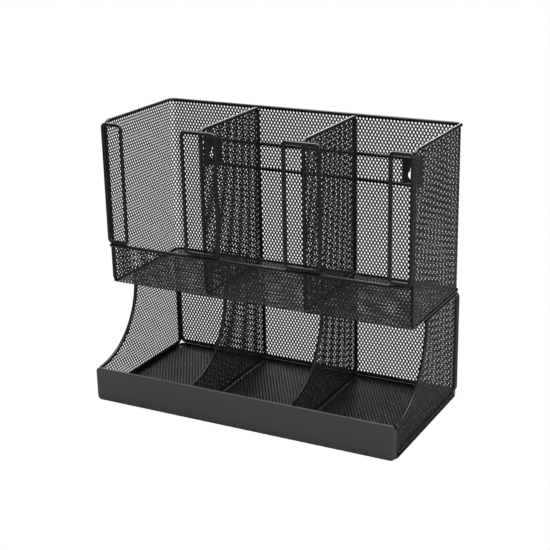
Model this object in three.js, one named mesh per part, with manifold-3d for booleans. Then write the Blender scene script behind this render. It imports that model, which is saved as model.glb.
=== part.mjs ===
// Two-tier countertop organizer of powder-coated steel:
// wire frames, expanded-metal panels and one sheet front band.
// Frame: millimetres, +Z up, front faces -Y, origin at the bottom centre of the bounding box.
// Welded joints are modelled with a gap of about 0.3 mm between neighbouring solids.
import * as THREE from 'three';
import { mergeVertices } from 'three/addons/utils/BufferGeometryUtils.js';
import Module from 'manifold-3d';

// ---- overall sizes ----
const WIDTH = 400;          // outside of the wire frames
const DEPTH = 200;          // front band face to the rear of the frame wires
const RIM_Z = 341;          // rim wire centre line
const WIRE_D = 4.5;         // wire diameter
const SIDES = 8;            // facets round a wire
const GAP = 0.3;            // clearance kept where two pieces are welded together
const SHEET = 0.8;          // expanded-metal panels, closed sheet stand-in
const THIN = 0.5;           // tray panel with its front upstand
const OVERRUN = 5;          // how far a cutting solid runs past what it cuts
const TOUCH = 1e-6;         // points closer than this are one point

// ---- bends of the wires, on their centre lines ----
const RIM_CORNER = 7;       // rim and tray loop, seen from above
const POST_BEND = 8;        // posts into the rim and the tray loop
const DIVIDER_BEND = 6;
const SIDE_BEND = 5.5;
const SWEEP_BEND = 4;       // foot of the swept front
const GUARD_BEND = 4;
const BACK_BEND = 6;
const BASE_BEND = 8;

// ---- derived planes ----
const R = WIRE_D / 2;
const PITCH = WIRE_D + GAP;                       // centre distance of two welded parallel wires
const BACK = DEPTH / 2;                           // wall plane, touched by the rear wires
const FRONT = -DEPTH / 2;                         // face of the front band
const SIDE_X = WIDTH / 2 - R;                     // side wires
const REAR_Y = BACK - R;                          // rear wires and back panels
const POST_Y = -49.5;                             // front posts of the upper tier
const RAIL_Y = POST_Y - WIRE_D - THIN - 2 * GAP;  // front rail and guard loops, the upstand held between
const DIVIDER_X = 66;                             // both dividers, either side of the middle
const HANG_Y = REAR_Y - SHEET / 2 - GAP - R;      // hanger wires, inside the back panel
const UPPER_DIVIDER_REAR_Y = HANG_Y - PITCH;
const LOWER_REAR_Y = REAR_Y - PITCH;              // rear of the lower dividers and side frames
const BASE_Z = R;                                 // base frame wire
const LOWER_Z = BASE_Z + PITCH;                   // bottom wires of the lower frames
const TRAY_Z = 140;                               // bottom wires and floor of the upper tier
const LOWER_TOP_Z = TRAY_Z - PITCH;               // top wires of the lower frames
const RAIL_Z = 188.5;
const GUARD_LOW_Z = RAIL_Z + PITCH;
const GUARD_TOP_Z = RIM_Z - 2;
const GUARD_HALF = 22;                            // half width of a middle guard, wire centre to centre
const GUARD_END_X = 172.5;                        // inner upright of an end guard
const INSET = R + GAP;                            // panel edge back from a wire centre line
const DIVIDER_LOW_Z = TRAY_Z + THIN / 2 + PITCH - R + 0.15;  // upper dividers stand on the tray sheet
const DIVIDER_HIGH_Z = TRAY_Z - THIN / 2 - PITCH + R - 0.05; // lower dividers end under it
const RAIL_END_X = SIDE_X - 1;
const UPSTAND_TOP_Z = RAIL_Z + 0.5;

// ---- lower side outline: a concave sweep from under the tray to the top of the front band ----
const SWEEP_R = 90;
const SWEEP_Y = -95;
const SWEEP_Z = 129.5;
const SWEEP_FRONT_Y = -91.5;
const SWEEP_STEPS = 10;

// ---- front band ----
const BAND_TOP = 43;
const BAND_T = 0.8;
const BAND_CORNER = 3;        // bend at each end, seen from above
const BAND_ROUND = 7;         // rounded corners of the band face
const BAND_ROUND_STEPS = 5;
const BAND_FOOT = 0.3;
const HEM = 2;
const HEM_Z = 1.4;

// ---- hanger ----
const PLATE_X = 137;
const PLATE_W = 26;
const PLATE_LOW = 259;
const PLATE_TOP = 298;
const PLATE_T = 1.2;
const PLATE_ROUND = 6;
const PLATE_Y = HANG_Y + R + GAP;
const HANG_HIGH_Z = 295;
const HANG_LOW_Z = 263;
const KEY_R = 5.6;
const KEY_Z = 274;
const KEY_SLOT = 3.2;
const KEY_TOP = 284.5;
const KEY_STEPS = 18;
const SLOT_STEPS = 8;

const wasm = await Module();
wasm.setup();

// ---- powder coat, as it looks on each kind of piece ----
const COAT_METALNESS = 0.35;
const WIRE_COAT = { color: 0x17181a, roughness: 0.5, metalness: COAT_METALNESS };
const MESH_COAT = { color: 0x1b1c1e, roughness: 0.55, metalness: COAT_METALNESS };
const PLATE_COAT = { color: 0x1a1a1c, roughness: 0.45, metalness: COAT_METALNESS };
const BAND_COAT = { color: 0x3a3b3d, roughness: 0.45, metalness: COAT_METALNESS };

const part = new THREE.Group();
part.name = 'two_tier_mesh_organizer';

function add(name, geometry, look = WIRE_COAT) {
  const mesh = new THREE.Mesh(geometry, new THREE.MeshStandardMaterial(look));
  mesh.name = name;
  part.add(mesh);
}

// ---- points of a path with rounded corners; each corner is [x, y, z, bend radius] ----
function rounded(corners, closed, steps = 4) {
  const out = [];
  const n = corners.length;
  for (let i = 0; i < n; i += 1) {
    const [x, y, z, r = 0] = corners[i];
    const here = new THREE.Vector3(x, y, z);
    const end = !closed && (i === 0 || i === n - 1);
    if (end || r === 0) {
      out.push(here);
      continue;
    }
    const before = new THREE.Vector3(...corners[(i + n - 1) % n].slice(0, 3)).sub(here).normalize();
    const after = new THREE.Vector3(...corners[(i + 1) % n].slice(0, 3)).sub(here).normalize();
    const half = before.angleTo(after) / 2;
    const middle = before.clone().add(after).normalize();
    const centre = here.clone().addScaledVector(middle, r / Math.sin(half));
    const from = here.clone().addScaledVector(before, r / Math.tan(half)).sub(centre);
    const to = here.clone().addScaledVector(after, r / Math.tan(half)).sub(centre);
    const turn = from.angleTo(to);
    for (let k = 0; k <= steps; k += 1) {
      const t = k / steps;
      const a = Math.sin((1 - t) * turn) / Math.sin(turn);
      const b = Math.sin(t * turn) / Math.sin(turn);
      out.push(centre.clone().addScaledVector(from, a).addScaledVector(to, b));
    }
  }
  return out;
}

// ---- round wire swept along a path, mitred at every point, flats square to the first run ----
function wire(points, closed, up = new THREE.Vector3(0, 0, 1)) {
  const n = points.length;
  const runs = closed ? n : n - 1;
  const dirs = [];
  for (let i = 0; i < runs; i += 1) {
    dirs.push(points[(i + 1) % n].clone().sub(points[i]).normalize());
  }
  const planes = [];
  for (let i = 0; i < n; i += 1) {
    const before = dirs[(i + runs - 1) % runs];
    const after = dirs[i % runs];
    const end = !closed && (i === 0 || i === n - 1);
    const last = i === n - 1 ? dirs[runs - 1] : dirs[0];
    planes.push(end ? last.clone() : before.clone().add(after).normalize());
  }
  const u = new THREE.Vector3().crossVectors(up, dirs[0]).normalize();
  const v = new THREE.Vector3().crossVectors(dirs[0], u);
  const radius = R / Math.cos(Math.PI / SIDES);
  let ring = [];
  for (let k = 0; k < SIDES; k += 1) {
    const a = (2 * Math.PI * (k + 0.5)) / SIDES;
    const p = points[0].clone();
    p.addScaledVector(u, radius * Math.cos(a)).addScaledVector(v, radius * Math.sin(a));
    ring.push(slide(p, dirs[0], points[0], planes[0]));
  }
  const rings = [ring];
  for (let i = 1; i < n; i += 1) {
    ring = ring.map((p) => slide(p, dirs[i - 1], points[i], planes[i]));
    rings.push(ring);
  }
  const position = rings.flat().flatMap((p) => [p.x, p.y, p.z]);
  const index = [];
  for (let i = 0; i + 1 < n; i += 1) {
    band(index, i * SIDES, (i + 1) * SIDES, 0);
  }
  if (closed) {
    const home = ring.map((p) => slide(p, dirs[n - 1], points[0], planes[0]));
    const gaps = rings[0].map((p) => p.distanceTo(home[0]));
    band(index, (n - 1) * SIDES, 0, gaps.indexOf(Math.min(...gaps)));
  } else {
    for (let k = 1; k + 1 < SIDES; k += 1) {
      index.push(0, k + 1, k);
      index.push((n - 1) * SIDES, (n - 1) * SIDES + k, (n - 1) * SIDES + k + 1);
    }
  }
  const geometry = new THREE.BufferGeometry();
  geometry.setAttribute('position', new THREE.Float32BufferAttribute(position, 3));
  geometry.setIndex(index);
  geometry.computeVertexNormals();
  return geometry;
}

function slide(p, dir, origin, normal) {
  const t = origin.clone().sub(p).dot(normal) / dir.dot(normal);
  return p.clone().addScaledVector(dir, t);
}

function band(index, from, to, shift) {
  for (let k = 0; k < SIDES; k += 1) {
    const a = from + k;
    const b = from + ((k + 1) % SIDES);
    const c = to + ((k + 1 + shift) % SIDES);
    const d = to + ((k + shift) % SIDES);
    index.push(a, b, c, a, c, d);
  }
}

// ---- solids through manifold: add and cut ----
function solid(geometry) {
  const plain = geometry.clone();
  plain.deleteAttribute('normal');
  plain.deleteAttribute('uv');
  const merged = mergeVertices(plain, 1e-4);
  const vertProperties = new Float32Array(merged.attributes.position.array);
  const triVerts = new Uint32Array(merged.index.array);
  return new wasm.Manifold(new wasm.Mesh({ numProp: 3, vertProperties, triVerts }));
}

function shaped(manifold) {
  const mesh = manifold.getMesh();
  const geometry = new THREE.BufferGeometry();
  geometry.setAttribute('position', new THREE.Float32BufferAttribute(mesh.vertProperties, 3));
  geometry.setIndex(Array.from(mesh.triVerts));
  geometry.computeVertexNormals();
  return geometry;
}

function box(lo, hi) {
  const size = hi.map((v, i) => v - lo[i]);
  const geometry = new THREE.BoxGeometry(...size);
  return geometry.translate((lo[0] + hi[0]) / 2, (lo[1] + hi[1]) / 2, (lo[2] + hi[2]) / 2);
}

// ---- flat sheet from an outline; axes map the outline's two coordinates into the part ----
function sheet(outline, thickness, place, holes = []) {
  const shape = new THREE.Shape(outline.map((p) => new THREE.Vector2(p.x, p.y)));
  for (const hole of holes) {
    shape.holes.push(new THREE.Path(hole.map((p) => new THREE.Vector2(p.x, p.y))));
  }
  const geometry = new THREE.ExtrudeGeometry(shape, { depth: thickness, bevelEnabled: false });
  geometry.translate(0, 0, -thickness / 2);
  return geometry.applyMatrix4(place);
}

function across(x) {
  // outline (y, z) stands in the plane at x
  const m = new THREE.Matrix4().makeBasis(
    new THREE.Vector3(0, 1, 0), new THREE.Vector3(0, 0, 1), new THREE.Vector3(1, 0, 0));
  return m.setPosition(x, 0, 0);
}

function facing(y) {
  // outline (x, z) stands in the plane at y
  const m = new THREE.Matrix4().makeBasis(
    new THREE.Vector3(1, 0, 0), new THREE.Vector3(0, 0, 1), new THREE.Vector3(0, -1, 0));
  return m.setPosition(0, y, 0);
}

function flat2(corners) {
  // rounded outline from [a, b, bend radius] corners
  return rounded(corners.map(([a, b, r = 0]) => [a, b, 0, r]), true);
}

// ---- upper tier: one closed wire, tray loop at the bottom, posts at the front, rim round the top ----
const S = SIDE_X;
add('upper_frame_wire', wire(rounded([
  [0, REAR_Y, TRAY_Z],
  [-S, REAR_Y, TRAY_Z, RIM_CORNER],
  [-S, POST_Y, TRAY_Z, POST_BEND],
  [-S, POST_Y, RIM_Z, POST_BEND],
  [-S, REAR_Y, RIM_Z, RIM_CORNER],
  [S, REAR_Y, RIM_Z, RIM_CORNER],
  [S, POST_Y, RIM_Z, POST_BEND],
  [S, POST_Y, TRAY_Z, POST_BEND],
  [S, REAR_Y, TRAY_Z, RIM_CORNER],
], true), true));

// ---- panel wrapped round the two sides and the back, cut away round each hanger plate ----
const t2 = SHEET / 2;
const wrapFront = POST_Y + INSET;
function wrapFace(out) {
  // one face of the wrapped sheet, seen from above; out is its distance outside the wire plane
  const x = S + out;
  const y = REAR_Y + out;
  const bend = RIM_CORNER + out;
  return rounded([[-x, wrapFront, 0], [-x, y, 0, bend], [x, y, 0, bend], [x, wrapFront, 0]], false);
}
const wrapOuter = wrapFace(t2);
const wrapInner = wrapFace(-t2).reverse();
const wrapShape = new THREE.Shape([...wrapOuter, ...wrapInner].map((p) => new THREE.Vector2(p.x, p.y)));
const wrapLow = TRAY_Z + INSET;
const wrapHigh = RIM_Z - INSET;
const wrap = new THREE.ExtrudeGeometry(wrapShape, { depth: wrapHigh - wrapLow, bevelEnabled: false });
wrap.translate(0, 0, wrapLow);
const wrapBend = POST_BEND - INSET;
const wrapSide = flat2([
  [wrapFront, wrapLow, wrapBend], [BACK + OVERRUN, wrapLow],
  [BACK + OVERRUN, wrapHigh], [wrapFront, wrapHigh, wrapBend],
]);
let wrapSolid = solid(wrap).intersect(solid(sheet(wrapSide, WIDTH + 2 * OVERRUN, across(0))));
for (const side of [-1, 1]) {
  const half = PLATE_W / 2 + GAP;
  const lo = [side * PLATE_X - half, REAR_Y - OVERRUN, PLATE_LOW - GAP];
  const hi = [side * PLATE_X + half, REAR_Y + OVERRUN, PLATE_TOP + GAP];
  wrapSolid = wrapSolid.subtract(solid(box(lo, hi)));
}
add('upper_wrap_mesh', shaped(wrapSolid), MESH_COAT);

// ---- tray: floor panel turned up at the front behind the rail ----
const trayX = S - INSET;
const standBack = POST_Y - R - GAP;
const standFront = standBack - THIN;
const trayBack = REAR_Y - INSET;
const trayBend = RIM_CORNER - INSET;
const trayFloor = sheet(flat2([
  [-trayX, standFront], [trayX, standFront], [trayX, trayBack, trayBend], [-trayX, trayBack, trayBend],
]), THIN, new THREE.Matrix4().makeTranslation(0, 0, TRAY_Z));
const trayStand = box([-trayX, standFront, TRAY_Z - THIN / 2], [trayX, standBack, UPSTAND_TOP_Z]);
add('upper_tray_mesh', shaped(solid(trayFloor).add(solid(trayStand))), MESH_COAT);

// ---- front rail on the upstand ----
const railEnds = [[-RAIL_END_X, RAIL_Y, RAIL_Z], [RAIL_END_X, RAIL_Y, RAIL_Z]];
add('upper_front_rail', wire(rounded(railEnds, false), false));

// ---- upper dividers ----
function upperDivider(inset) {
  const r = DIVIDER_BEND - inset;
  return [
    [UPPER_DIVIDER_REAR_Y - inset, DIVIDER_LOW_Z + inset, r],
    [UPPER_DIVIDER_REAR_Y - inset, RIM_Z - inset, r],
    [POST_Y + inset, RIM_Z - inset, r],
    [POST_Y + inset, DIVIDER_LOW_Z + inset, r],
  ];
}

// ---- lower side, swept front edge; the same outline serves the frames and the panels inside them ----
function lowerSide(inset, topZ) {
  const r = SIDE_BEND - inset;
  const arc = [];
  const radius = SWEEP_R + inset;
  const last = Math.acos((SWEEP_FRONT_Y + inset - SWEEP_Y) / radius);
  for (let k = 0; k <= SWEEP_STEPS; k += 1) {
    const a = last * (k / SWEEP_STEPS);
    const bend = k === SWEEP_STEPS ? SWEEP_BEND - inset : 0;
    arc.push([SWEEP_Y + radius * Math.cos(a), SWEEP_Z - radius * Math.sin(a), bend]);
  }
  return [
    [SWEEP_FRONT_Y + inset, LOWER_Z + inset, r],
    [LOWER_REAR_Y - inset, LOWER_Z + inset, r],
    [LOWER_REAR_Y - inset, topZ - inset, r],
    [SWEEP_Y + radius, topZ - inset, r],
    ...arc,
  ];
}

const hands = [['left', -1], ['right', 1]];
for (const [hand, side] of hands) {
  const x = side * DIVIDER_X;
  const upper = upperDivider(0).map(([y, z, r]) => [x, y, z, r]);
  add(`upper_divider_frame_${hand}`, wire(rounded(upper, true), true));
  const upperPanel = flat2(upperDivider(INSET));
  add(`upper_divider_mesh_${hand}`, sheet(upperPanel, SHEET, across(x)), MESH_COAT);

  const lower = lowerSide(0, DIVIDER_HIGH_Z).map(([y, z, r]) => [x, y, z, r]);
  add(`lower_divider_frame_${hand}`, wire(rounded(lower, true), true));
  const lowerPanel = flat2(lowerSide(INSET, DIVIDER_HIGH_Z));
  add(`lower_divider_mesh_${hand}`, sheet(lowerPanel, SHEET, across(x)), MESH_COAT);

  const flank = lowerSide(0, LOWER_TOP_Z).map(([y, z, r]) => [side * SIDE_X, y, z, r]);
  add(`lower_side_frame_${hand}`, wire(rounded(flank, true), true));
  const flankPanel = flat2(lowerSide(INSET, LOWER_TOP_Z));
  add(`lower_side_mesh_${hand}`, sheet(flankPanel, SHEET, across(side * SIDE_X)), MESH_COAT);
}

// ---- guard loops across the front of the upper tier ----
const guards = [
  ['guard_loop_end_left', -SIDE_X, -GUARD_END_X],
  ['guard_loop_mid_left', -DIVIDER_X - GUARD_HALF, -DIVIDER_X + GUARD_HALF],
  ['guard_loop_mid_right', DIVIDER_X - GUARD_HALF, DIVIDER_X + GUARD_HALF],
  ['guard_loop_end_right', GUARD_END_X, SIDE_X],
];
for (const [name, x0, x1] of guards) {
  add(name, wire(rounded([
    [x0, RAIL_Y, GUARD_LOW_Z, GUARD_BEND], [x1, RAIL_Y, GUARD_LOW_Z, GUARD_BEND],
    [x1, RAIL_Y, GUARD_TOP_Z, GUARD_BEND], [x0, RAIL_Y, GUARD_TOP_Z, GUARD_BEND],
  ], true), true));
}

// ---- hanger: two wires across the back, two keyhole plates behind their ends ----
const hangX = PLATE_X + PLATE_W / 2 - 1;          // both wires end just inside the plates' outer edges
for (const [name, z] of [['hanger_wire_top', HANG_HIGH_Z], ['hanger_wire_bottom', HANG_LOW_Z]]) {
  add(name, wire(rounded([[-hangX, HANG_Y, z], [hangX, HANG_Y, z]], false), false));
}
function keyhole(x) {
  const out = [];
  const open = Math.asin(KEY_SLOT / KEY_R);
  for (let k = 0; k <= KEY_STEPS; k += 1) {
    const a = Math.PI / 2 + open + ((2 * Math.PI - 2 * open) * k) / KEY_STEPS;
    out.push(new THREE.Vector2(x + KEY_R * Math.cos(a), KEY_Z + KEY_R * Math.sin(a)));
  }
  for (let k = 0; k <= SLOT_STEPS; k += 1) {
    const a = (Math.PI * k) / SLOT_STEPS;
    out.push(new THREE.Vector2(x + KEY_SLOT * Math.cos(a), KEY_TOP - KEY_SLOT + KEY_SLOT * Math.sin(a)));
  }
  return out;
}
for (const [hand, side] of hands) {
  const x = side * PLATE_X;
  const low = x - PLATE_W / 2;
  const high = x + PLATE_W / 2;
  const outline = flat2([
    [low, PLATE_LOW, PLATE_ROUND], [high, PLATE_LOW, PLATE_ROUND],
    [high, PLATE_TOP, PLATE_ROUND], [low, PLATE_TOP, PLATE_ROUND],
  ]);
  const geometry = sheet(outline, PLATE_T, facing(PLATE_Y + PLATE_T / 2), [keyhole(x)]);
  add(`keyhole_plate_${hand}`, geometry, PLATE_COAT);
}

// ---- lower back: full-width frame behind the side frames and dividers, panel inside it ----
function lowerBack(inset) {
  const r = BACK_BEND - inset;
  const lo = LOWER_Z + inset;
  const hi = LOWER_TOP_Z - inset;
  const x = SIDE_X - inset;
  return [[-x, lo, r], [x, lo, r], [x, hi, r], [-x, hi, r]];
}
add('lower_back_frame', wire(rounded(lowerBack(0).map(([x, z, r]) => [x, REAR_Y, z, r]), true), true));
add('lower_back_mesh', sheet(flat2(lowerBack(INSET)), SHEET, facing(REAR_Y)), MESH_COAT);

// ---- base: floor frame and its panel ----
const baseFront = FRONT + BAND_T + GAP + R;
function base(inset) {
  const x = SIDE_X - inset;
  const front = baseFront + inset;
  const back = REAR_Y - inset;
  const r = BASE_BEND - inset;
  return [[-x, front, r], [x, front, r], [x, back, r], [-x, back, r]];
}
add('base_frame_wire', wire(rounded(base(0).map(([x, y, r]) => [x, y, BASE_Z, r]), true), true));
const floorPlace = new THREE.Matrix4().makeTranslation(0, 0, BASE_Z);
add('base_floor_mesh', sheet(flat2(base(INSET)), SHEET, floorPlace), MESH_COAT);

// ---- front band: sheet bent round both front corners, top edge hemmed inwards ----
const bandX = WIDTH / 2;
const bandEnd = FRONT + BAND_CORNER;
function bandFace(depth) {
  // one face of the bent sheet, seen from above; depth is its distance behind the outer face
  const x = bandX - depth;
  const y = FRONT + depth;
  const bend = BAND_CORNER - depth;
  return rounded([[-x, bandEnd, 0], [-x, y, 0, bend], [x, y, 0, bend], [x, bandEnd, 0]], false);
}
const bandPath = [...bandFace(0), ...bandFace(BAND_T).reverse()];
const distinct = bandPath.filter((p, i, all) => p.distanceTo(all[(i + 1) % all.length]) > TOUCH);
const bandShape = new THREE.Shape(distinct.map((p) => new THREE.Vector2(p.x, p.y)));
const bandSheet = new THREE.ExtrudeGeometry(bandShape, { depth: BAND_TOP - BAND_FOOT, bevelEnabled: false });
bandSheet.translate(0, 0, BAND_FOOT);
const hemX = bandX - BAND_CORNER;
const hem = box([-hemX, FRONT + BAND_T / 8, BAND_TOP - HEM_Z], [hemX, FRONT + BAND_T + HEM, BAND_TOP]);
const corners = [];
for (const side of [-1, 1]) {
  for (const [z, up] of [[BAND_TOP, 1], [BAND_FOOT, -1]]) {
    // wedge that rounds off one corner of the band face
    const r = BAND_ROUND;
    const beyond = bandX + OVERRUN;
    const start = bandX - r;
    const cut = [[side * beyond, z + up * OVERRUN], [side * start, z + up * OVERRUN], [side * start, z]];
    for (let k = 1; k <= BAND_ROUND_STEPS; k += 1) {
      const a = (Math.PI / 2) * (k / BAND_ROUND_STEPS);
      cut.push([side * (start + r * Math.sin(a)), z - up * (r - r * Math.cos(a))]);
    }
    cut.push([side * beyond, z - up * r]);
    if (side * up > 0) {
      cut.reverse();
    }
    const points = cut.map(([x, y]) => new THREE.Vector2(x, y));
    corners.push(sheet(points, 4 * OVERRUN, facing(FRONT + OVERRUN)));
  }
}
let bandSolid = solid(bandSheet).add(solid(hem));
for (const corner of corners) {
  bandSolid = bandSolid.subtract(solid(corner));
}
add('front_band', shaped(bandSolid), BAND_COAT);

export default part;
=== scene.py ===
import math
import bpy
import numpy as np
from mathutils import Matrix, Vector


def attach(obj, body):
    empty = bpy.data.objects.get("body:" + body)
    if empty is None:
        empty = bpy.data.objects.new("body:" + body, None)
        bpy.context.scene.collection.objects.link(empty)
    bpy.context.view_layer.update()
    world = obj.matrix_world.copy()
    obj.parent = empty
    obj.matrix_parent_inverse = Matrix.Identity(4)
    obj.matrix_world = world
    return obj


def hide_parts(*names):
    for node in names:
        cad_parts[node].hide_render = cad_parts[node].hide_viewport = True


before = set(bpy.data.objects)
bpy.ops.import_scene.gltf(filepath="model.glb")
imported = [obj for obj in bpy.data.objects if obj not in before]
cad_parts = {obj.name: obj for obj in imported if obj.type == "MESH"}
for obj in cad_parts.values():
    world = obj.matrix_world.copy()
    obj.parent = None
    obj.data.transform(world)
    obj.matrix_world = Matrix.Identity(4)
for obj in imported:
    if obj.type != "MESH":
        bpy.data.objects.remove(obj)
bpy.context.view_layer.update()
MM = 0.001

# ---------------------------------------------------------------- sizes, millimetres, row frame
WIDTH = 400.0                                     # outside of the wire frames
DEPTH = 200.0                                     # band face to the rear of the frame wires
WIRE_D = 4.5
GAP = 0.3                                         # clearance between pieces that are welded together
SHEET = 0.8                                       # panels, as closed sheets in the CAD
THIN = 0.5                                        # tray, as a closed sheet in the CAD

R = WIRE_D / 2
PITCH = WIRE_D + GAP                              # centre distance of two welded parallel wires
SIDE_X = WIDTH / 2 - R
REAR_Y = DEPTH / 2 - R
POST_Y = -49.5                                    # front posts of the upper tier
RAIL_Y = POST_Y - WIRE_D - THIN - 2 * GAP         # front rail and guard loops
HANG_Y = REAR_Y - SHEET / 2 - GAP - R             # hanger wires
UPPER_DIVIDER_REAR_Y = HANG_Y - PITCH
LOWER_REAR_Y = REAR_Y - PITCH
DIVIDER_X = 66.0
BASE_Z = R
LOWER_Z = BASE_Z + PITCH
TRAY_Z = 140.0
LOWER_TOP_Z = TRAY_Z - PITCH
UPPER_DIVIDER_LOW_Z = TRAY_Z + THIN / 2 + GAP + R + 0.15    # stands on the tray
LOWER_DIVIDER_TOP_Z = TRAY_Z - THIN / 2 - GAP - R - 0.05    # ends under the tray
RIM_Z = 341.0
RAIL_Z = 188.5
GUARD_LOW_Z = RAIL_Z + PITCH
GUARD_TOP_Z = RIM_Z - 2
GUARD_HALF = 22.0                                 # half width of a middle guard loop
GUARD_END_X = 172.5                               # inner upright of an end guard loop

# concave sweep of the lower sides
SWEEP_R = 90.0
SWEEP_Y = -95.0
SWEEP_Z = 129.5
SWEEP_FRONT_Y = -91.5
SWEEP_STEPS = 30

# bends, on the wires' centre lines
RIM_CORNER = 7.0
POST_BEND = 8.0
DIVIDER_BEND = 6.0
SIDE_BEND = 5.5
SWEEP_BEND = 2.4
GUARD_BEND = 4.0
BACK_BEND = 6.0
BASE_BEND = 8.0
TRAY_FOLD = 1.6

# front band
BAND_Y = -DEPTH / 2
BAND_TOP = 43.0
BAND_FOOT = 0.3
BAND_T = 0.8
BAND_CORNER = 3.0                                 # bend at each end, seen from above
BAND_ROUND = 7.0                                  # rounded corners of the face
HEM_R = 1.4                                       # outer radius of the rolled hem
HEM_TAIL = 2.6                                    # length of sheet turned down inside
SOFT_EDGE = 0.25                                  # chamfer of the sheet's raw edges

# keyhole plates and hanger wires
PLATE_X = 137.0
PLATE_W = 26.0
PLATE_LOW = 259.0
PLATE_TOP = 298.0
PLATE_Y = HANG_Y + R + GAP
PLATE_T = 1.2
PLATE_ROUND = 6.0
PLATE_BEVEL = 0.18
KEY_R = 5.6
KEY_Z = 274.0
KEY_SLOT = 3.2
KEY_TOP = 284.5
HANG_TOP_Z = 295.0
HANG_LOW_Z = 263.0

# expanded metal
SHORT = 4.45                                      # pitch across the diamonds
LONG = 7.5                                        # pitch along the diamonds
STRAND = 1.50                                     # width of a strand
THICK = 0.55
LEAN = 0.20                                       # rise of a strand's edge over its middle line
BOND = 0.15                                       # half length of the bond between two diamonds
TRAY_STRAND = 1.35
TRAY_THICK = 0.35

HANDS = (("left", -1), ("right", 1))
ALONG_X = (1, 0, 0)
ALONG_Y = (0, 1, 0)
ALONG_Z = (0, 0, 1)


# ---------------------------------------------------------------- node materials
def add_node(tree, kind, **values):
    """Node with the named inputs set; an underscore in a name stands for a space."""
    node = tree.nodes.new(kind)
    for name, value in values.items():
        node.inputs[name.replace("_", " ")].default_value = value
    return node


def powder_coat(name, dark, light, rough, peel, peel_size, mottle):
    """Powder coat: slow colour mottle that also varies the roughness, and an orange-peel bump."""
    mat = bpy.data.materials.new(name)
    mat.use_nodes = True
    tree = mat.node_tree
    tree.nodes.clear()
    link = tree.links.new
    out = add_node(tree, "ShaderNodeOutputMaterial")
    bsdf = add_node(tree, "ShaderNodeBsdfPrincipled")
    link(bsdf.outputs["BSDF"], out.inputs["Surface"])
    coords = add_node(tree, "ShaderNodeTexCoord")
    slow = add_node(tree, "ShaderNodeTexNoise", Scale=mottle, Detail=5.0, Roughness=0.6)
    link(coords.outputs["Object"], slow.inputs["Vector"])
    ramp = add_node(tree, "ShaderNodeValToRGB")
    for element, position, colour in zip(ramp.color_ramp.elements, (0.3, 0.7), (dark, light)):
        element.position = position
        element.color = (*colour, 1.0)
    link(slow.outputs["Fac"], ramp.inputs["Fac"])
    link(ramp.outputs["Color"], bsdf.inputs["Base Color"])
    low, high = rough
    spread = add_node(tree, "ShaderNodeMapRange", From_Min=0.3, From_Max=0.7, To_Min=low, To_Max=high)
    link(slow.outputs["Fac"], spread.inputs["Value"])
    link(spread.outputs["Result"], bsdf.inputs["Roughness"])
    grain = add_node(tree, "ShaderNodeTexNoise", Scale=peel_size, Detail=2.0)
    link(coords.outputs["Object"], grain.inputs["Vector"])
    bump = add_node(tree, "ShaderNodeBump", Strength=peel, Distance=0.0001)
    link(grain.outputs["Fac"], bump.inputs["Height"])
    link(bump.outputs["Normal"], bsdf.inputs["Normal"])
    return mat


WIRE = powder_coat("wire_coat", (0.005,) * 3, (0.008,) * 3, (0.32, 0.40), 0.35, 900.0, 60.0)
MESH = powder_coat("mesh_coat", (0.007,) * 3, (0.011,) * 3, (0.40, 0.50), 0.30, 1200.0, 70.0)
BAND = powder_coat("band_coat", (0.073, 0.072, 0.071), (0.082, 0.081, 0.080), (0.38, 0.46), 0.30, 700.0, 24.0)
PLATE = powder_coat("plate_coat", (0.012,) * 3, (0.018,) * 3, (0.40, 0.50), 0.35, 900.0, 50.0)


# ---------------------------------------------------------------- mesh helpers
def finish_piece(name, verts, faces, mat, nodes, smooth=True, uv=None):
    """Mesh object from millimetre vertices, riding on the body and standing for its CAD nodes."""
    mesh = bpy.data.meshes.new(name)
    mesh.from_pydata(np.asarray(verts, dtype=np.float64) * MM, [], faces)
    mesh.validate()
    mesh.polygons.foreach_set("use_smooth", [smooth] * len(mesh.polygons))
    if uv is not None:
        layer = mesh.uv_layers.new(name="OFBake")
        loops = np.empty(len(mesh.loops), dtype=np.int32)
        mesh.loops.foreach_get("vertex_index", loops)
        layer.data.foreach_set("uv", np.asarray(uv, dtype=np.float32)[loops].ravel())
    mesh.materials.append(mat)
    obj = bpy.data.objects.new(name, mesh)
    bpy.context.scene.collection.objects.link(obj)
    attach(obj, "root")
    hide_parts(*nodes)


def rounded(corners, closed):
    """Points of a path whose corners [x, y, z, bend radius] are rounded."""
    out = []
    steps = 9
    n = len(corners)
    for i, corner in enumerate(corners):
        here = Vector(corner[:3])
        r = corner[3] if len(corner) > 3 else 0
        if r == 0 or (not closed and i in (0, n - 1)):
            out.append(here)
            continue
        before = (Vector(corners[i - 1][:3]) - here).normalized()
        after = (Vector(corners[(i + 1) % n][:3]) - here).normalized()
        half = before.angle(after) / 2
        centre = here + (before + after).normalized() * (r / math.sin(half))
        a = here + before * (r / math.tan(half)) - centre
        b = here + after * (r / math.tan(half)) - centre
        turn = a.angle(b)
        for k in range(steps + 1):
            t = k / steps
            out.append(centre + (a * math.sin((1 - t) * turn) + b * math.sin(t * turn)) / math.sin(turn))
    return out


def rectangle(a0, a1, b0, b1, bends=(0, 0, 0, 0)):
    """Flat (a, b, radius) corners, counted from the low end of both."""
    return [(a, b, r) for (a, b), r in zip(((a0, b0), (a1, b0), (a1, b1), (a0, b1)), bends)]


def loop(corners, place):
    """Closed rounded loop from flat (a, b, radius) corners; place puts a flat point in the row frame."""
    return rounded([(*place(a, b), r) for a, b, r in corners], True)


def outline(corners):
    """Flat closed outline from (a, b, radius) corners."""
    return [(p.x, p.y) for p in loop(corners, lambda a, b: (a, b, 0))]


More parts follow.
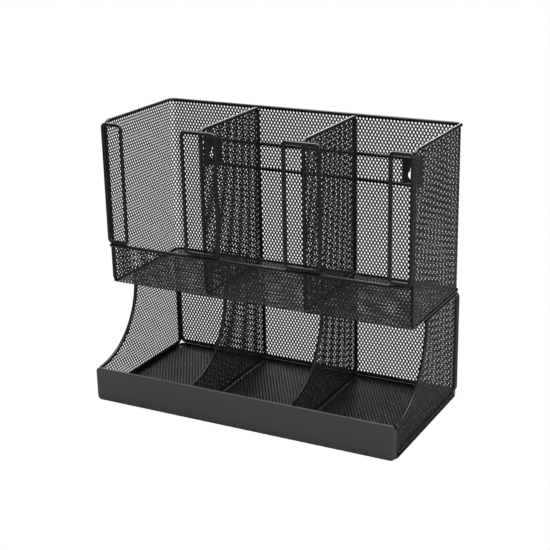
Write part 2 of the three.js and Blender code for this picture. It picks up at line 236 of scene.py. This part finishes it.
def subdivided(points, closed):
    """Extra points on long straight runs, so the shading stays even."""
    longest = 25.0
    out = []
    n = len(points)
    for i in range(n if closed else n - 1):
        a, b = points[i], points[(i + 1) % n]
        parts = max(1, math.ceil((b - a).length / longest))
        out += [a.lerp(b, k / parts) for k in range(parts)]
    return out if closed else out + [points[-1]]


def path_frames(points, tangents, closed):
    """One crosswise direction for each point, carried along without twist, and the turn left at the end."""
    ref = Vector((0, 0, 1)) if abs(tangents[0].z) < 0.9 else Vector((1, 0, 0))
    u = tangents[0].cross(ref).normalized()
    frames = [u]
    for i in range(1, len(points)):
        u = tangents[i - 1].rotation_difference(tangents[i]) @ u
        u = (u - tangents[i] * u.dot(tangents[i])).normalized()
        frames.append(u)
    if not closed:
        return frames, 0.0
    home = tangents[-1].rotation_difference(tangents[0]) @ frames[-1]
    return frames, math.atan2(home.cross(frames[0]).dot(tangents[0]), home.dot(frames[0]))


def wire_mesh(points, closed):
    """Round wire along the points: closed loop, or open with domed ends."""
    sides = 16
    pts = subdivided(points, closed)
    n = len(pts)
    tangents = []
    for i in range(n):
        a = pts[i - 1] if closed or i else pts[0]
        b = pts[(i + 1) % n] if closed or i < n - 1 else pts[-1]
        tangents.append((b - a).normalized())
    frames, twist = path_frames(pts, tangents, closed)
    rings = [(i, R, 0.0) for i in range(n)]
    if not closed:
        dome = ((0.35, 0.52), (0.75, 0.38), (0.94, 0.16))        # share of the radius, depth past the end
        start = [(0, R * share, -depth) for share, depth in dome]
        end = [(n - 1, R * share, depth) for share, depth in reversed(dome)]
        rings = start + rings + end
    verts, faces = [], []
    for i, r, d in rings:
        v = tangents[i].cross(frames[i])
        spin = twist * i / n
        centre = pts[i] + tangents[i] * d
        for k in range(sides):
            a = 2 * math.pi * k / sides + spin
            verts.append(centre + (frames[i] * math.cos(a) + v * math.sin(a)) * r)
    m = len(rings)
    for i in range(m if closed else m - 1):
        faces += ring_faces(i * sides, (i + 1) % m * sides, sides)
    if not closed:
        faces.append(tuple(reversed(range(sides))))
        faces.append(tuple((m - 1) * sides + k for k in range(sides)))
    return verts, faces


def ring_faces(first, second, sides):
    """Quads between two rings of vertices that start at the given numbers."""
    out = []
    for k in range(sides):
        l = (k + 1) % sides
        out.append((first + k, first + l, second + l, second + k))
    return out


def weld(at, along):
    """Small weld nugget: a flattened ball at a point, longest along a direction."""
    length, girth, tip = 1.5, 1.1, 0.02
    rings, sides = 6, 10
    w = Vector(along).normalized()
    u = w.orthogonal().normalized()
    v = w.cross(u)
    verts, faces = [], []
    for i in range(rings + 1):
        t = math.pi * i / rings
        reach = girth * (math.sin(t) if 0 < i < rings else tip)
        for k in range(sides):
            a = 2 * math.pi * k / sides
            out = (u * math.cos(a) + v * math.sin(a)) * reach
            verts.append(Vector(at) + w * (length * math.cos(t)) + out)
    for i in range(rings):
        faces += [quad[::-1] for quad in ring_faces(i * sides, (i + 1) * sides, sides)]
    faces.append(tuple(range(sides)))
    faces.append(tuple(rings * sides + k for k in reversed(range(sides))))
    return verts, faces


def flanks(at, off):
    return at - off, at + off


def beads(xs, ys, zs, along):
    """Weld nuggets at every combination of the listed coordinates."""
    return [weld((x, y, z), along) for x in xs for y in ys for z in zs]


def add_wire(node, path, welds=(), closed=True):
    """Visible wire for a CAD node, with its weld nuggets."""
    verts, faces = [], []
    for part_verts, part_faces in (wire_mesh(path, closed), *welds):
        at = len(verts)
        verts += [tuple(p) for p in part_verts]
        faces += [tuple(k + at for k in face) for face in part_faces]
    finish_piece("look_" + node, verts, faces, WIRE, [node])


# ---------------------------------------------------------------- expanded metal
# Each bond is a plate with six corners, numbered round it, and the same six again 6 higher on the underside.
UNDER = 6
BOND_VERTS = 12
BOND_FACES = ((0, 1, 4, 5), (1, 2, 3, 4), (6, 11, 10, 7), (7, 10, 9, 8), (0, 5, 11, 6), (2, 8, 9, 3))
CORNER_RISE = np.array([1, 0, -1, -1, 0, 1]) * LEAN
# The two strands up from a bond: step in half pitches, corners it leaves by, corners it arrives at.
STRANDS = (((1, 1), (3, 4), (0, 1)), ((-1, 1), (4, 5), (1, 2)))
SHORTEST = 0.02                                   # least share of a cut strand that is kept
TOUCH = 1e-9
UV_MARGIN = 0.01


def edges_of(polygons):
    starts, ends = [], []
    for poly in polygons:
        p = np.asarray(poly, dtype=np.float64)
        starts.append(p)
        ends.append(np.roll(p, -1, axis=0))
    return np.concatenate(starts), np.concatenate(ends)


def inside(points, starts, ends):
    """Even-odd test of many points against all outlines together, so an inner outline is a hole."""
    x, y = points[:, 0][:, None], points[:, 1][:, None]
    x0, y0, x1, y1 = starts[:, 0], starts[:, 1], ends[:, 0], ends[:, 1]
    spans = (y0 <= y) != (y1 <= y)
    with np.errstate(divide="ignore", invalid="ignore"):
        cross = x0 + (y - y0) / (y1 - y0) * (x1 - x0)
    return (np.sum(spans & (x < cross), axis=1) % 2) == 1


def first_crossing(a, b, starts, ends):
    """Smallest t where a + t (b - a) meets an outline, or 1."""
    d = (b - a)[:, None, :]
    e = (ends - starts)[None, :, :]
    w = starts[None, :, :] - a[:, None, :]
    den = d[..., 0] * e[..., 1] - d[..., 1] * e[..., 0]
    with np.errstate(divide="ignore", invalid="ignore"):
        t = (w[..., 0] * e[..., 1] - w[..., 1] * e[..., 0]) / den
        s = (w[..., 0] * d[..., 1] - w[..., 1] * d[..., 0]) / den
    met = (t >= 0) & (t <= 1) & (s >= -TOUCH) & (s <= 1 + TOUCH)
    return np.where(met, t, 1.0).min(axis=1)


def bond_corners(strand):
    """Six corners round a bond, so that strands of this width leave it square."""
    slope = math.hypot(SHORT, LONG)
    along, over = SHORT / slope, LONG / slope
    half = strand * 0.5 / over * 1.02             # a little over half a strand, for a full joint
    rise = (strand - over * half) / along
    return np.array([(-half, -BOND), (0, -BOND - rise), (half, -BOND),
                     (half, BOND), (0, BOND + rise), (-half, BOND)])


def bonds_inside(starts, ends, shift):
    """Bonds whose centres lie inside the outlines: centres, grid places, and a grid of bond numbers or -1."""
    half = np.array([SHORT / 2, LONG / 2])
    low = np.floor((starts.min(axis=0) - shift) / half).astype(int) - 1
    high = np.ceil((starts.max(axis=0) - shift) / half).astype(int) + 1
    column, row = np.meshgrid(np.arange(low[0], high[0] + 1), np.arange(low[1], high[1] + 1), indexing="ij")
    number = -np.ones(column.shape, dtype=np.int64)
    even = (column + row) % 2 == 0
    grid = np.stack([column[even], row[even]], axis=1)
    centres = grid * half + shift
    held = inside(centres, starts, ends)
    number[tuple((grid - low).T)] = np.where(held, np.cumsum(held) - 1, -1)
    return centres[held], (grid - low)[held], number


def neighbour(number, places, step):
    column, row = (places + step).T
    column = np.clip(column, 0, number.shape[0] - 1)
    return number[column, np.clip(row, 0, number.shape[1] - 1)]


def strand_faces(a, b, c, d, c_under, d_under):
    """Top, underside and flanks of strands from corners a, b to corners d, c."""
    quads = ((a, d, c, b), (a + UNDER, b + UNDER, c_under, d_under),
             (a, a + UNDER, d_under, d), (b, c, c_under, b + UNDER))
    return [np.stack(quad, axis=1) for quad in quads]


def cut_ends(centres, corners, step, near, far, starts, ends, thick):
    """Four new vertices for each strand that stops at an outline: two on the face, two on the underside."""
    move = np.array([step[0] * SHORT / 2, step[1] * LONG / 2])
    share = np.clip(first_crossing(centres, centres + move, starts, ends), SHORTEST, 1.0)[:, None]
    first, second = centres + corners[near[0]], centres + corners[near[1]]
    first_end, second_end = centres + move + corners[far[1]], centres + move + corners[far[0]]
    reach = np.linalg.norm((first_end + second_end - first - second) / 2, axis=1, keepdims=True)
    whole = np.linalg.norm(move)
    u = np.clip((share * whole - (whole - reach) / 2) / reach, SHORTEST, 1.0)
    flat = (first + (first_end - first) * u, second + (second_end - second) * u)
    from_rise, to_rise = CORNER_RISE[list(near)], CORNER_RISE[list(far)][::-1]
    height = [a + (b - a) * u for a, b in zip(from_rise, to_rise)]
    return np.stack([np.column_stack([p, h + half]) for half in (thick / 2, -thick / 2)
                     for p, h in zip(flat, height)], axis=1).reshape(-1, 3)


def expanded(node, name, outlines, place, shift=(0.0, 0.0), strand=STRAND, thick=THICK):
    """Diamond lattice cut to the outlines. place maps flat (short way, long way, height) to the row frame."""
    starts, ends = edges_of(outlines)
    corners = bond_corners(strand)
    centres, places, number = bonds_inside(starts, ends, np.array(shift))
    flat = centres[:, None, :] + corners[None]
    height = np.broadcast_to(CORNER_RISE, flat.shape[:2])
    sides = [np.concatenate([flat, (height + half)[..., None]], axis=2) for half in (thick / 2, -thick / 2)]
    verts = [np.concatenate(sides, axis=1).reshape(-1, 3)]
    me = np.arange(len(centres)) * BOND_VERTS
    quads = [me[:, None] + np.array(face) for face in BOND_FACES]
    total = len(centres) * BOND_VERTS
    for up, low, high in STRANDS:
        down = (-up[0], -up[1])
        for step, near, far in ((up, low, high), (down, high, low)):
            target = neighbour(number, places, step)
            if step == up:
                whole = target >= 0
                you = target[whole] * BOND_VERTS
                a, b = me[whole] + near[0], me[whole] + near[1]
                c, d = you + far[0], you + far[1]
                quads += strand_faces(a, b, c, d, c + UNDER, d + UNDER)
            cut = target < 0
            verts.append(cut_ends(centres[cut], corners, step, near, far, starts, ends, thick))
            fresh = total + np.arange(np.count_nonzero(cut)) * 4
            total += 4 * len(fresh)
            a, b = me[cut] + near[0], me[cut] + near[1]
            d, c, d_under, c_under = (fresh + k for k in range(4))
            quads += strand_faces(a, b, c, d, c_under, d_under)
            quads.append(np.stack([d, d_under, c_under, c], axis=1))
    verts = np.concatenate(verts)
    low = starts.min(axis=0)
    span = (starts.max(axis=0) - low).max()
    uv = np.clip((verts[:, :2] - low) / span * (1 - 2 * UV_MARGIN) + UV_MARGIN, 0, 1)
    faces = np.concatenate(quads).tolist()
    finish_piece(name, place(verts), faces, MESH, [node], smooth=False, uv=uv)


def standing_x(x):
    """Flat (y, z, height) in the plane at x."""
    return lambda f: np.column_stack([x + f[:, 2], f[:, 0], f[:, 1]])


def standing_y(y):
    """Flat (x, z, height) in the plane at y."""
    return lambda f: np.column_stack([f[:, 0], y - f[:, 2], f[:, 1]])


def lying(z):
    """Flat (x, y, height) at height z."""
    return lambda f: np.column_stack([f[:, 0], f[:, 1], z + f[:, 2]])


def flat_panel(node, shape, place, shift=0.0):
    expanded(node, "look_" + node, [outline(shape)], place, (shift, 0))


def bent_sheet(u, h, start, heading, turn, straights, radius):
    """Points at distance u along a bent profile and height h on its inner side.

    The profile starts at start along the angle heading. Quarter bends join its straight runs, all to the
    left (turn 1) or all to the right (turn -1).
    """
    out = np.empty((len(u), 2))
    at, angle, done = np.array(start), heading, 0.0
    for k, length in enumerate(straights):
        forward = np.array([math.cos(angle), math.sin(angle)])
        inner = turn * np.array([-forward[1], forward[0]])
        here = u >= done if k else np.full(len(u), True)
        out[here] = at + np.outer(u[here] - done, forward) + np.outer(h[here], inner)
        if k == len(straights) - 1:
            break
        done += length
        centre = at + forward * length + inner * radius
        here = u >= done
        a = (u[here] - done) / radius
        spoke = np.outer(np.sin(a), forward) - np.outer(np.cos(a), inner)
        out[here] = centre + spoke * (radius - h[here])[:, None]
        done += math.pi / 2 * radius
        at = centre + forward * radius
        angle += turn * math.pi / 2
    return out


# ---------------------------------------------------------------- upper tier
S = SIDE_X
UNDER_TRAY_Z = TRAY_Z - PITCH / 2                 # contact of the tray loop and the lower frames
BACK_WELD_XS = (-150, -75, 0, 75, 150)


def upper_frame():
    path = rounded([
        (-S, REAR_Y, TRAY_Z, RIM_CORNER), (-S, POST_Y, TRAY_Z, POST_BEND), (-S, POST_Y, RIM_Z, POST_BEND),
        (-S, REAR_Y, RIM_Z, RIM_CORNER), (S, REAR_Y, RIM_Z, RIM_CORNER), (S, POST_Y, RIM_Z, POST_BEND),
        (S, POST_Y, TRAY_Z, POST_BEND), (S, REAR_Y, TRAY_Z, RIM_CORNER)], True)
    welds = beads((*flanks(-S, 1.1), *flanks(S, 1.1)), (0, 80), (UNDER_TRAY_Z,), ALONG_Y)
    welds += beads(BACK_WELD_XS, (REAR_Y - 1.1, REAR_Y + 0.9), (UNDER_TRAY_Z,), ALONG_X)
    add_wire("upper_frame_wire", path, welds)


def upper_wrap():
    """One sheet round the left side, the back and the right side, shown as three pieces."""
    side_run = REAR_Y - RIM_CORNER - POST_Y
    corner_run = math.pi / 2 * RIM_CORNER
    back_run = 2 * (S - RIM_CORNER)
    end = 2 * side_run + 2 * corner_run + back_run
    middle = end / 2
    left_cut = side_run + corner_run / 2
    right_cut = end - left_cut

    def wrapped(f):
        straights = (side_run, back_run, side_run)
        plan = bent_sheet(f[:, 0], f[:, 2], (-S, POST_Y), math.pi / 2, -1, straights, RIM_CORNER)
        return np.column_stack([plan, f[:, 1]])

    left = rectangle(0, left_cut, TRAY_Z, RIM_Z, (POST_BEND, 0, 0, POST_BEND))
    back = rectangle(left_cut, right_cut, TRAY_Z, RIM_Z)
    right = rectangle(right_cut, end, TRAY_Z, RIM_Z, (0, POST_BEND, POST_BEND, 0))
    plates = [plate_corners(middle + side * PLATE_X, lap=0.2) for _, side in HANDS]
    for name, shapes in (("left", [left]), ("back", [back] + plates), ("right", [right])):
        outlines = [outline(shape) for shape in shapes]
        expanded("upper_wrap_mesh", "look_upper_wrap_" + name, outlines, wrapped, (middle, 0))


def upper_tray():
    """Floor and upstand in one sheet, the diamonds' long way up the front and back along the floor."""
    stand_y = POST_Y - R - GAP - THIN / 2
    stand_run = RAIL_Z - TRAY_Z - TRAY_FOLD
    fold_run = math.pi / 2 * TRAY_FOLD
    floor_run = REAR_Y - (stand_y + TRAY_FOLD)
    end = stand_run + fold_run + floor_run
    past_post = stand_run + fold_run + (POST_Y - stand_y) + 2
    narrow = S - 0.5

    def place(f):
        straights = (stand_run, floor_run)
        section = bent_sheet(f[:, 1], f[:, 2], (stand_y, RAIL_Z), -math.pi / 2, 1, straights, TRAY_FOLD)
        return np.column_stack([f[:, 0], section])

    right = [(narrow, 0, 0), (narrow, past_post, 0), (S, past_post, 0), (S, end, RIM_CORNER)]
    left = [(-x, run, bend) for x, run, bend in reversed(right)]
    shape = outline(right + left)
    expanded("upper_tray_mesh", "look_upper_tray", [shape], place, strand=TRAY_STRAND, thick=TRAY_THICK)


def straight_wire(node, x_end, y, z, welds=()):
    add_wire(node, [Vector((-x_end, y, z)), Vector((x_end, y, z))], welds, closed=False)


def upper_divider(hand, side):
    x = side * DIVIDER_X
    rear = UPPER_DIVIDER_REAR_Y
    shape = [(rear, UPPER_DIVIDER_LOW_Z, DIVIDER_BEND), (rear, RIM_Z, DIVIDER_BEND),
             (POST_Y, RIM_Z, DIVIDER_BEND), (POST_Y, UPPER_DIVIDER_LOW_Z, DIVIDER_BEND)]
    welds = beads(flanks(x, 1.2), (rear + PITCH / 2,), (HANG_LOW_Z, HANG_TOP_Z), ALONG_Z)
    add_wire("upper_divider_frame_" + hand, loop(shape, lambda y, z: (x, y, z)), welds)
    flat_panel("upper_divider_mesh_" + hand, shape, standing_x(x), 1.1)


def guard_loop(name, x0, x1):
    shape = rectangle(x0, x1, GUARD_LOW_Z, GUARD_TOP_Z, (GUARD_BEND,) * 4)
    welds = beads((x0 + 8, x1 - 8), flanks(RAIL_Y, 1.3), (RAIL_Z + PITCH / 2,), ALONG_X)
    add_wire("guard_loop_" + name, loop(shape, lambda x, z: (x, RAIL_Y, z)), welds)


# ---------------------------------------------------------------- hanger
def hanger_wire(name, z):
    plate_xs = (*flanks(-PLATE_X, 8), *flanks(PLATE_X, 8))
    welds = beads(plate_xs, (PLATE_Y - 0.7,), flanks(z, 1.3), ALONG_X)
    straight_wire("hanger_wire_" + name, PLATE_X + PLATE_W / 2 - 1, HANG_Y, z, welds)


def plate_corners(x, lap=0.0):
    """Outline of a keyhole plate about x; lap makes it smaller all round."""
    w = PLATE_W / 2 - lap
    return rectangle(x - w, x + w, PLATE_LOW + lap, PLATE_TOP - lap, (PLATE_ROUND,) * 4)


def keyhole(x):
    start = math.asin(KEY_SLOT / KEY_R)
    round_steps, slot_steps = 40, 16
    out = []
    for k in range(round_steps + 1):
        a = math.pi / 2 + start + (2 * math.pi - 2 * start) * k / round_steps
        out.append((x + KEY_R * math.cos(a), KEY_Z + KEY_R * math.sin(a)))
    for k in range(slot_steps + 1):
        a = math.pi * k / slot_steps
        out.append((x + KEY_SLOT * math.cos(a), KEY_TOP - KEY_SLOT + KEY_SLOT * math.sin(a)))
    return out


def keyhole_plate(hand, x):
    """Plate with a keyhole: a filled flat curve given thickness and softened edges."""
    curve = bpy.data.curves.new("plate_curve", "CURVE")
    curve.dimensions = "2D"
    curve.fill_mode = "BOTH"
    curve.extrude = (PLATE_T / 2 - PLATE_BEVEL) * MM
    curve.bevel_depth = PLATE_BEVEL * MM
    curve.bevel_resolution = 2
    curve.offset = -PLATE_BEVEL * MM
    for points in (outline(plate_corners(x)), keyhole(x)):
        spline = curve.splines.new("POLY")
        spline.points.add(len(points) - 1)
        for point, (a, b) in zip(spline.points, points):
            point.co = (a * MM, b * MM, 0, 1)
        spline.use_cyclic_u = True
    obj = bpy.data.objects.new("plate_curve", curve)
    bpy.context.scene.collection.objects.link(obj)
    mesh = bpy.data.meshes.new_from_object(obj.evaluated_get(bpy.context.evaluated_depsgraph_get()))
    bpy.data.objects.remove(obj)
    verts = [(v.co.x / MM, PLATE_Y + PLATE_T / 2 - v.co.z / MM, v.co.y / MM) for v in mesh.vertices]
    faces = [tuple(p.vertices) for p in mesh.polygons]
    node = "keyhole_plate_" + hand
    finish_piece("look_" + node, verts, faces, PLATE, [node], smooth=False)


# ---------------------------------------------------------------- lower tier
def lower_side_shape(top_z):
    """Outline of a lower side or divider, with the concave sweep at the front."""
    last = math.acos((SWEEP_FRONT_Y - SWEEP_Y) / SWEEP_R)
    arc = []
    for k in range(SWEEP_STEPS + 1):
        a = last * k / SWEEP_STEPS
        bend = SWEEP_BEND if k == SWEEP_STEPS else 0
        arc.append((SWEEP_Y + SWEEP_R * math.cos(a), SWEEP_Z - SWEEP_R * math.sin(a), bend))
    return [(SWEEP_FRONT_Y, LOWER_Z, SIDE_BEND), (LOWER_REAR_Y, LOWER_Z, SIDE_BEND),
            (LOWER_REAR_Y, top_z, SIDE_BEND), (SWEEP_Y + SWEEP_R, top_z, SIDE_BEND)] + arc


def lower_divider(hand, side):
    x = side * DIVIDER_X
    shape = lower_side_shape(LOWER_DIVIDER_TOP_Z)
    welds = beads(flanks(x, 1.3), (LOWER_REAR_Y + PITCH / 2,), (20, 122), ALONG_Z)
    add_wire("lower_divider_frame_" + hand, loop(shape, lambda y, z: (x, y, z)), welds)
    flat_panel("lower_divider_mesh_" + hand, shape, standing_x(x), 0.7)


def lower_side(hand, side):
    x = side * S
    shape = lower_side_shape(LOWER_TOP_Z)
    welds = beads(flanks(x, 1.2), (-70, 0, 70), (LOWER_Z - PITCH / 2,), ALONG_Y)
    welds += beads((x - side * 1.2,), (LOWER_REAR_Y + PITCH / 2,), (30, 110), ALONG_Z)
    add_wire("lower_side_frame_" + hand, loop(shape, lambda y, z: (x, y, z)), welds)
    flat_panel("lower_side_mesh_" + hand, shape, standing_x(x), 1.9)


def lower_back():
    shape = rectangle(-S, S, LOWER_Z, LOWER_TOP_Z, (BACK_BEND,) * 4)
    welds = beads(BACK_WELD_XS, flanks(REAR_Y, 1.2), (LOWER_Z - PITCH / 2,), ALONG_X)
    add_wire("lower_back_frame", loop(shape, lambda x, z: (x, REAR_Y, z)), welds)
    flat_panel("lower_back_mesh", shape, standing_y(REAR_Y))


def base():
    front = BAND_Y + BAND_T + GAP + R
    shape = rectangle(-S, S, front, REAR_Y, (BASE_BEND,) * 4)
    add_wire("base_frame_wire", loop(shape, lambda x, y: (x, y, BASE_Z)))
    flat_panel("base_floor_mesh", shape, lying(BASE_Z))


# ---------------------------------------------------------------- front band
def band_profile():
    """Closed section of the bent sheet with its rolled hem, as (inward, z, share).

    A point with share 1 follows the top edge where the face's corners are rounded, one with share 0 the foot.
    """
    hem = BAND_TOP - HEM_R
    turn = np.linspace(0, math.pi, 13)
    rows = 8

    def face(inward):
        low, high = BAND_FOOT + 2, BAND_FOOT + BAND_TOP - 4
        return [(inward, low + (high - low) * k / rows, k / rows) for k in range(rows + 1)]

    def roll(radius, angles):
        return [(HEM_R - radius * math.cos(a), hem + radius * math.sin(a), 1) for a in angles]

    tail_out, tail_in = 2 * HEM_R, 2 * HEM_R - BAND_T
    tail_end = hem - HEM_TAIL - SOFT_EDGE
    pts = [(SOFT_EDGE, BAND_FOOT, 0), (0.0, BAND_FOOT + SOFT_EDGE, 0)]
    pts += face(0.0)
    pts += roll(HEM_R, turn)
    pts += [(tail_out, hem - HEM_TAIL, 1), (tail_out - SOFT_EDGE, tail_end, 1),
            (tail_in + SOFT_EDGE, tail_end, 1), (tail_in, hem - HEM_TAIL, 1)]
    pts += roll(HEM_R - BAND_T, turn[::-2])
    pts += face(BAND_T)[::-1]
    pts += [(BAND_T, BAND_FOOT + SOFT_EDGE, 0), (BAND_T - SOFT_EDGE, BAND_FOOT, 0)]
    return pts


def band_path():
    """Stations (x, y, inward direction) along the band, seen from above, round both front corners."""
    half = WIDTH / 2 - BAND_CORNER
    inner = WIDTH / 2 - BAND_ROUND
    turn = [math.pi / 2 * k / 10 for k in range(11)]

    def corner(side, angles):
        return [(side * (half + BAND_CORNER * math.cos(a)), BAND_Y + BAND_CORNER - BAND_CORNER * math.sin(a),
                 (-side * math.cos(a), math.sin(a))) for a in angles]

    near_corner = [half - (half - inner) * k / 6 for k in range(1, 7)]
    face_x = [-x for x in near_corner] + list(np.linspace(-inner, inner, 49)[1:-1]) + near_corner[::-1]
    return corner(-1, turn) + [(x, BAND_Y, (0, 1)) for x in face_x] + corner(1, turn[::-1])


def front_band():
    profile = band_profile()
    path = band_path()
    verts, faces = [], []
    for x, y, (inward_x, inward_y) in path:
        near = max(BAND_ROUND - (WIDTH / 2 - abs(x)), 0)
        drop = BAND_ROUND - math.sqrt(BAND_ROUND ** 2 - min(near, BAND_ROUND - 0.4) ** 2)
        for inward, z, share in profile:
            verts.append((x + inward_x * inward, y + inward_y * inward, z + drop * (1 - 2 * share)))
    m = len(profile)
    for i in range(len(path) - 1):
        faces += ring_faces(i * m, (i + 1) * m, m)
    faces.append(tuple(range(m)))
    faces.append(tuple((len(path) - 1) * m + k for k in reversed(range(m))))
    finish_piece("look_front_band", verts, faces, BAND, ["front_band"])


# ---------------------------------------------------------------- the object
upper_frame()
upper_wrap()
upper_tray()
straight_wire("upper_front_rail", S - 1, RAIL_Y, RAIL_Z)
for hand, side in HANDS:
    upper_divider(hand, side)
    lower_divider(hand, side)
    lower_side(hand, side)
guard_loop("end_left", -S, -GUARD_END_X)
guard_loop("mid_left", -DIVIDER_X - GUARD_HALF, -DIVIDER_X + GUARD_HALF)
guard_loop("mid_right", DIVIDER_X - GUARD_HALF, DIVIDER_X + GUARD_HALF)
guard_loop("end_right", GUARD_END_X, S)
hanger_wire("top", HANG_TOP_Z)
hanger_wire("bottom", HANG_LOW_Z)
for hand, side in HANDS:
    keyhole_plate(hand, side * PLATE_X)
lower_back()
base()
front_band()


# ---------------------------------------------------------------- stage, light, camera
FLOOR_HALF = 6.0
FLOOR_DROP = 0.0005
FLOOR_DULL = 0.36                                 # what the floor gives back to the object
UNDER_SHADE = 0.012                               # floor right under the object
# Contact shade under the object, metres: axis, where it is darkest, where it ends.
SHADE_EDGES = (("X", 0.194, 0.1975), ("X", -0.1985, -0.2005), ("Y", -0.094, -0.0975), ("Y", 0.101, 0.111))
AMBIENT = 0.05
AIM = (0, 0, 0.15)                                # every softbox faces this point


def camera_switch(tree, dim, seen, out):
    """The camera sees one shader, and every other ray the other."""
    path = add_node(tree, "ShaderNodeLightPath")
    mix = add_node(tree, "ShaderNodeMixShader")
    tree.links.new(path.outputs["Is Camera Ray"], mix.inputs["Fac"])
    tree.links.new(dim, mix.inputs[1])
    tree.links.new(seen, mix.inputs[2])
    tree.links.new(mix.outputs["Shader"], out.inputs["Surface"])


def floor_material():
    """White to the camera apart from the contact shade, pale grey to the object."""
    mat = bpy.data.materials.new("floor_pale")
    mat.use_nodes = True
    tree = mat.node_tree
    tree.nodes.clear()
    out = add_node(tree, "ShaderNodeOutputMaterial")
    dull = add_node(tree, "ShaderNodeBsdfDiffuse", Color=(FLOOR_DULL, FLOOR_DULL, FLOOR_DULL, 1))
    glow = add_node(tree, "ShaderNodeEmission", Strength=1.0)
    coords = add_node(tree, "ShaderNodeTexCoord")
    split = add_node(tree, "ShaderNodeSeparateXYZ")
    tree.links.new(coords.outputs["Object"], split.inputs["Vector"])
    shade = None
    for axis, dark_at, clear_at in SHADE_EDGES:
        edge = add_node(tree, "ShaderNodeMapRange", From_Min=dark_at, From_Max=clear_at, To_Min=UNDER_SHADE)
        edge.interpolation_type = "SMOOTHSTEP"
        tree.links.new(split.outputs[axis], edge.inputs["Value"])
        if shade is None:
            shade = edge.outputs["Result"]
            continue
        lighter = add_node(tree, "ShaderNodeMath")
        lighter.operation = "MAXIMUM"
        tree.links.new(shade, lighter.inputs[0])
        tree.links.new(edge.outputs["Result"], lighter.inputs[1])
        shade = lighter.outputs["Value"]
    tree.links.new(shade, glow.inputs["Color"])
    camera_switch(tree, dull.outputs["BSDF"], glow.outputs["Emission"], out)
    return mat


def studio_world():
    world = bpy.data.worlds.new("studio")
    bpy.context.scene.world = world
    world.use_nodes = True
    tree = world.node_tree
    tree.nodes.clear()
    out = add_node(tree, "ShaderNodeOutputWorld")
    dim = add_node(tree, "ShaderNodeBackground", Color=(1, 1, 1, 1), Strength=AMBIENT)
    seen = add_node(tree, "ShaderNodeBackground", Color=(1, 1, 1, 1), Strength=1.0)
    camera_switch(tree, dim.outputs["Background"], seen.outputs["Background"], out)


def softbox(name, at, size, power):
    data = bpy.data.lights.new(name, "AREA")
    data.shape = "RECTANGLE"
    data.size, data.size_y = size
    data.energy = power
    obj = bpy.data.objects.new(name, data)
    obj.location = at
    obj.rotation_euler = (Vector(AIM) - Vector(at)).to_track_quat("-Z", "Y").to_euler()
    obj.visible_camera = False
    bpy.context.scene.collection.objects.link(obj)


def camera():
    """Camera with a small roll. The focal length is for a picture 550 wide, the sensor is in mm."""
    focal, picture, sensor = 1281.7, 550, 36.0
    azimuth, elevation, roll = math.radians(27.977), math.radians(18.953), math.radians(-1.213)
    place = Vector((684.4, -1286.4, 660.4)) * MM
    forward = Vector((-math.sin(azimuth) * math.cos(elevation), math.cos(azimuth) * math.cos(elevation),
                      -math.sin(elevation)))
    level = Vector((math.cos(azimuth), math.sin(azimuth), 0))
    upright = level.cross(forward)
    right = level * math.cos(roll) + upright * math.sin(roll)
    up = -level * math.sin(roll) + upright * math.cos(roll)
    data = bpy.data.cameras.new("camera")
    data.sensor_width = sensor
    data.lens = focal / picture * sensor
    data.clip_start, data.clip_end = 0.05, 50
    obj = bpy.data.objects.new("camera", data)
    obj.matrix_world = Matrix.Translation(place) @ Matrix((right, up, -forward)).transposed().to_4x4()
    bpy.context.scene.collection.objects.link(obj)
    bpy.context.scene.camera = obj


floor_mesh = bpy.data.meshes.new("floor")
floor_mesh.from_pydata([(x * FLOOR_HALF, y * FLOOR_HALF, 0) for x, y in ((-1, -1), (1, -1), (1, 1), (-1, 1))],
                       [], [(0, 1, 2, 3)])
floor_mesh.materials.append(floor_material())
floor = bpy.data.objects.new("floor", floor_mesh)
floor.location.z = -FLOOR_DROP
bpy.context.scene.collection.objects.link(floor)

studio_world()
softbox("top", (0.0, 0.25, 1.7), (1.8, 1.2), 50)
softbox("front", (0.6, -2.2, 1.0), (1.6, 1.2), 9)
softbox("rear", (-1.15, 2.1, 1.0), (1.8, 1.1), 34)
softbox("side", (2.4, -0.5, 0.9), (1.4, 1.0), 18)
camera()
bpy.context.scene.view_settings.view_transform = "Standard"
